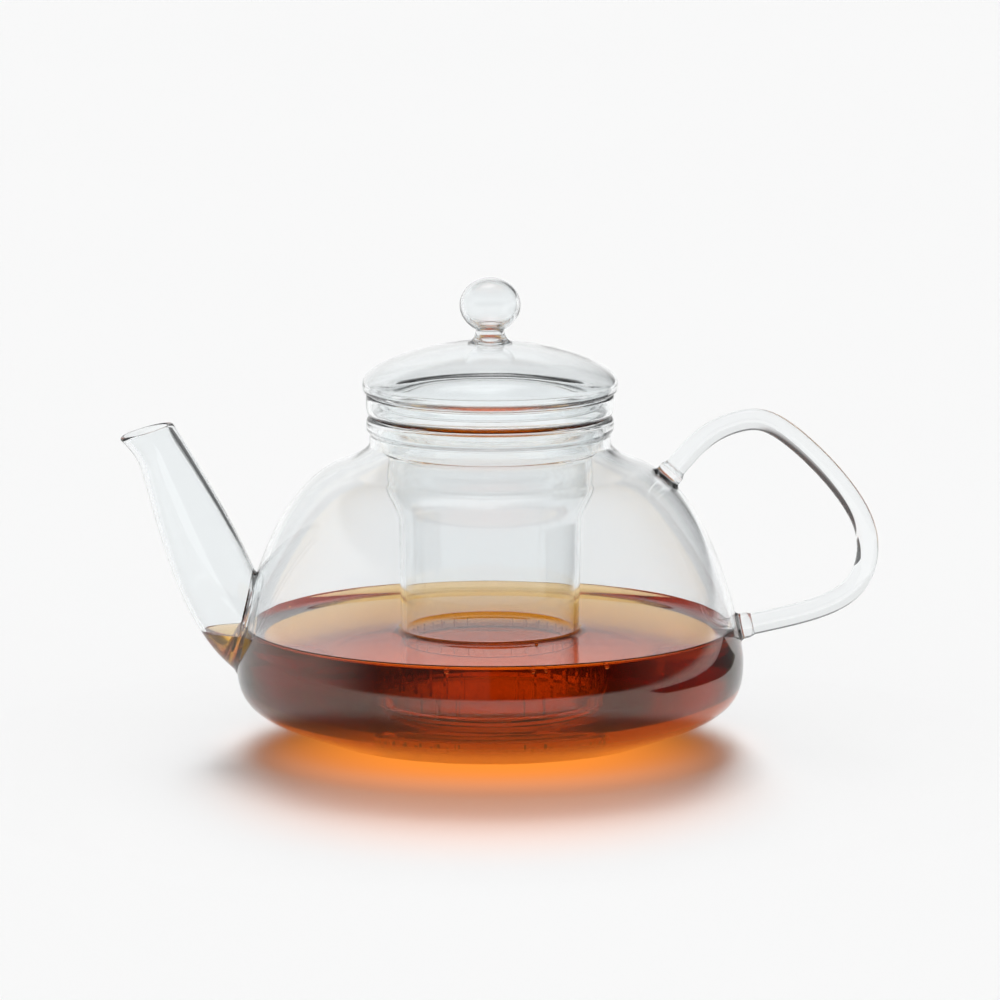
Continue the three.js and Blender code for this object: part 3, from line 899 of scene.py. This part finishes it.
def add_piece(obj, body, slot, material, *nodes):
    """Gives a mesh its material and the body that it rides on, hides the CAD nodes it stands for, and
    lets it throw a shadow only if its slot is tea.
    """
    obj.data.materials.clear()
    obj.data.materials.append(material)
    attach(obj, body)
    obj.visible_shadow = slot == "tea"  # with caustics off, clear glass would throw a black shadow
    if nodes:
        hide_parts(*nodes)
    return obj


def make_teapot():
    """All the pieces, on their bodies: pot, infuser and lid."""
    clear = blown_glass("clear_glass", CLEAR_TINT)
    rod = blown_glass("rod_glass", CLEAR_TINT, waviness=0.01)
    cup = blown_glass("infuser_glass", CUP_TINT, drowned_ior=DROWNED_IOR)
    tea = black_tea("black_tea")
    add_piece(make_pot(), "pot", "clear_glass", clear, "pot_body")
    add_piece(make_spout(), "pot", "clear_glass", clear, "spout")
    add_piece(make_rod(), "pot", "clear_glass", rod, "handle")
    upper = make_boss("handle_upper_weld", ROD_TOP_END, ROD_TOP_ANGLE, UPPER_BOSS_R)
    lower = make_boss("handle_lower_weld", ROD_LOW_END, ROD_LOW_ANGLE, LOWER_BOSS_R)
    add_piece(upper, "pot", "clear_glass", rod, "handle_upper_boss")
    add_piece(lower, "pot", "clear_glass", rod, "handle_lower_boss")
    add_piece(make_pot_tea(), "pot", "tea", tea, "pot_tea", "infuser_tea")
    add_piece(make_spout_tea(), "pot", "tea", tea)
    add_piece(make_bubbles(), "pot", "tea", tea)
    add_piece(make_infuser(), "infuser", "infuser_glass", cup, "infuser")
    add_piece(make_lid(), "lid", "clear_glass", clear, "lid")
    add_piece(make_knob(), "lid", "clear_glass", clear, "lid_knob")


# Studio, in metres. The world is one ball of light that glass and camera see in one way and the floor
# in another. Its ranges are the angles, in degrees, between which one level passes into the next.

HORIZON_LEVEL = 0.93
LEFT_LEVEL = 0.85  # behind the pot, low down
RIGHT_LEVEL = 0.12
HIGH_LEVEL = 0.15
FRONT_SHARE = 0.1  # of those levels, on the camera's side
SOFTBOX_LEVEL = 1.2
HORIZON_RANGE = (0.5, 3)
RIGHT_RANGE = (3, 25)
HIGH_RANGE = (31, 37)
FRONT_RANGE = (90, 130)
SOFTBOX_RANGE = (60, 68)
SOFTBOX_TURN = 0.3  # radians to the left of straight behind
SOFTBOX_SIDES = (0.6, 1.2)  # radians either side of its middle

LAMP_LEVEL = 56.0
LAMP_HIGH_SHARE = 0.12
LAMP_LOW_RANGE = (10, 18)
LAMP_HIGH_RANGE = (22, 42)
LAMP_END_RANGE = (55, 75)
LAMP_SIDE_RANGE = (4, 15)
DIM_LEVEL = 0.2

FLOOR_HALF_SIZE = 60.0
FLOOR_Z = -0.0003  # just clear of the foot
# the card is painted shade: a dark sheet that only the glass shows
CARD_Z = 0.001
CARD_SHADE = 0.02
CARD_ROUGHNESS = 0.9
CARD_CORNERS = [(0.22, 0.22), (1.2, 1.2), (1.2, -0.35), (0.22, -0.07)]
GLOW_COLOUR = (1.0, 0.28, 0.03)
GLOW_HEIGHT = 0.5
GLOW_LAMP_R = 0.01

CAMERA_ELEVATION = 9.5
CAMERA_DISTANCE = 3.0
CAMERA_TARGET = (0.0032, 0, 0.0767)
CAMERA_SENSOR = 36.0  # millimetres
SHOWN_WIDTH = 0.3226  # of the picture, at the target


def level_sheet(name, corners, z, material):
    """A flat four-sided sheet at one height."""
    mesh = bpy.data.meshes.new(name)
    mesh.from_pydata([(x, y, z) for x, y in corners], [], [(0, 1, 2, 3)])
    mesh.materials.append(material)
    return placed(name, mesh)


def make_floor():
    """The floor, far wider than the picture."""
    size = FLOOR_HALF_SIZE
    corners = [(-size, -size), (size, -size), (size, size), (-size, size)]
    floor = level_sheet("floor", corners, FLOOR_Z, pale_floor())


def combine(tree, operation, a, b=0.0):
    """The result of a Math node. Each of a and b is a value or a socket."""
    node = tree.nodes.new("ShaderNodeMath")
    node.operation = operation
    for socket, value in zip(node.inputs, (a, b)):
        if isinstance(value, bpy.types.NodeSocket):
            tree.links.new(value, socket)
        else:
            socket.default_value = value
    return node.outputs[0]


def times(tree, *values):
    """The product of values or sockets."""
    product = values[0]
    for value in values[1:]:
        product = combine(tree, "MULTIPLY", product, value)
    return product


def less(tree, value):
    """1 less the value."""
    return combine(tree, "SUBTRACT", 1.0, value)


def smooth_step(tree, value, low, high):
    """A smooth step from 0 at low to 1 at high."""
    node = add_node(tree, "ShaderNodeMapRange", {"interpolation_type": "SMOOTHSTEP"},
                    Value=value, From_Min=low, From_Max=high)
    return node.outputs["Result"]


def past_range(tree, angle, degrees):
    """A smooth step from 0 to 1 over a range of angles in degrees."""
    return smooth_step(tree, angle, math.radians(degrees[0]), math.radians(degrees[1]))


def blended(tree, angle, low, high, degrees):
    """The level low below a range of angles in degrees, high above it, and a smooth change within."""
    share = past_range(tree, angle, degrees)
    return combine(tree, "ADD", times(tree, less(tree, share), low), times(tree, share, high))


def seen_level(tree, rise, turn, aside):
    """What glass and camera see: white at the horizon and low at the left, darker elsewhere."""
    level = blended(tree, turn, LEFT_LEVEL, RIGHT_LEVEL, RIGHT_RANGE)
    level = blended(tree, rise, level, HIGH_LEVEL, HIGH_RANGE)
    level = blended(tree, aside, level, times(tree, level, FRONT_SHARE), FRONT_RANGE)
    from_middle = combine(tree, "ABSOLUTE", combine(tree, "ADD", turn, SOFTBOX_TURN))
    beside_softbox = smooth_step(tree, from_middle, *SOFTBOX_SIDES)
    softbox = times(tree, past_range(tree, rise, SOFTBOX_RANGE), less(tree, beside_softbox))
    level = combine(tree, "ADD", level, times(tree, softbox, SOFTBOX_LEVEL))
    return blended(tree, rise, HORIZON_LEVEL, level, HORIZON_RANGE)


def lighting_level(tree, rise, aside):
    """What lights the floor: a dim room and a low, narrow lamp straight behind the pot."""
    lamp = blended(tree, rise, 1.0, LAMP_HIGH_SHARE, LAMP_HIGH_RANGE)
    lamp = blended(tree, rise, lamp, 0.0, LAMP_END_RANGE)
    lamp = times(tree, lamp, past_range(tree, rise, LAMP_LOW_RANGE),
                 less(tree, past_range(tree, aside, LAMP_SIDE_RANGE)))
    return combine(tree, "ADD", times(tree, lamp, LAMP_LEVEL), DIM_LEVEL)


def make_world():
    """The studio: one level for rays that come straight from glass or camera, another for the rest."""
    world = bpy.data.worlds.new("studio")
    bpy.context.scene.world = world
    world.use_nodes = True
    tree = world.node_tree
    tree.nodes.clear()
    where = add_node(tree, "ShaderNodeTexCoord")
    axes = add_node(tree, "ShaderNodeSeparateXYZ", Vector=where.outputs["Generated"])
    turn = combine(tree, "ARCTAN2", axes.outputs["X"], axes.outputs["Y"])  # from +Y towards +X
    rise = combine(tree, "ARCSINE", axes.outputs["Z"])
    aside = combine(tree, "ABSOLUTE", turn)
    seen = seen_level(tree, rise, turn, aside)
    lighting = lighting_level(tree, rise, aside)
    path = add_node(tree, "ShaderNodeLightPath")
    direct = path.outputs["Is Camera Ray"]
    for kind in ("Is Transmission Ray", "Is Glossy Ray"):
        direct = combine(tree, "MAXIMUM", direct, path.outputs[kind])
    scattered = combine(tree, "MINIMUM", path.outputs["Diffuse Depth"], 1.0)
    direct = times(tree, direct, less(tree, scattered))
    strength = combine(tree, "ADD", times(tree, direct, seen),
                       times(tree, less(tree, direct), lighting))
    background = add_node(tree, "ShaderNodeBackground", Color=(1, 1, 1, 1), Strength=strength)
    add_node(tree, "ShaderNodeOutputWorld", Surface=background.outputs["Background"])


def make_card():
    """Painted shade: a dark card that lies on the floor at the right, and that only glass sees, so the
    glass reflects and shows through it a dark patch there.
    """
    material = bpy.data.materials.new("painted_shade_card")
    material.use_nodes = True
    shader = material.node_tree.nodes["Principled BSDF"]
    shader.inputs["Base Color"].default_value = (CARD_SHADE, CARD_SHADE, CARD_SHADE, 1)
    shader.inputs["Roughness"].default_value = CARD_ROUGHNESS
    card = level_sheet("painted_shade_card", CARD_CORNERS, CARD_Z, material)
    card.visible_camera = False
    card.visible_diffuse = False
    card.visible_shadow = False


def make_glow(name, middle, reach, width, energy):
    """Warm light on the floor alone, for what the lamp behind throws through the tea.

    It falls round y = middle, as far as reach, and width stretches it sideways.
    """
    lit = bpy.data.collections.new(name)
    lit.objects.link(bpy.data.objects["floor"])
    data = bpy.data.lights.new(name, "SPOT")
    data.energy = energy
    data.color = GLOW_COLOUR
    data.spot_size = 2 * math.atan(reach / GLOW_HEIGHT)
    data.spot_blend = 1.0
    data.shadow_soft_size = GLOW_LAMP_R
    glow = placed(name, data)
    glow.location = (0, middle, GLOW_HEIGHT)
    glow.scale = (width, 1, 1)
    glow.light_linking.receiver_collection = lit
    glow.light_linking.blocker_collection = lit


def make_camera():
    """Almost level, a little above the tea, from far enough that the view is nearly parallel."""
    elevation = math.radians(CAMERA_ELEVATION)
    data = bpy.data.cameras.new("camera")
    data.sensor_width = CAMERA_SENSOR
    data.lens = CAMERA_SENSOR * CAMERA_DISTANCE / SHOWN_WIDTH
    data.clip_end = FLOOR_HALF_SIZE
    camera = placed("camera", data)
    away = Vector((0, -math.cos(elevation), math.sin(elevation)))
    camera.location = Vector(CAMERA_TARGET) + away * CAMERA_DISTANCE
    camera.rotation_euler = (-away).to_track_quat("-Z", "Y").to_euler()
    bpy.context.scene.camera = camera


def set_light_paths():
    """Enough bounces for glass behind glass, and no caustics: the glows stand in for them."""
    scene = bpy.context.scene
    scene.view_settings.view_transform = "Standard"
    cycles = scene.cycles
    cycles.max_bounces = 40
    cycles.transmission_bounces = 40
    cycles.glossy_bounces = 12
    cycles.diffuse_bounces = 3
    cycles.transparent_max_bounces = 16
    cycles.caustics_refractive = False
    cycles.caustics_reflective = False


make_teapot()
make_floor()
make_world()
make_card()
make_glow("glow_before_pot", middle=-0.085, reach=0.135, width=0.74, energy=4.5)
make_glow("glow_under_pot", middle=-0.02, reach=0.088, width=1.05, energy=8.0)
make_camera()
set_light_paths()
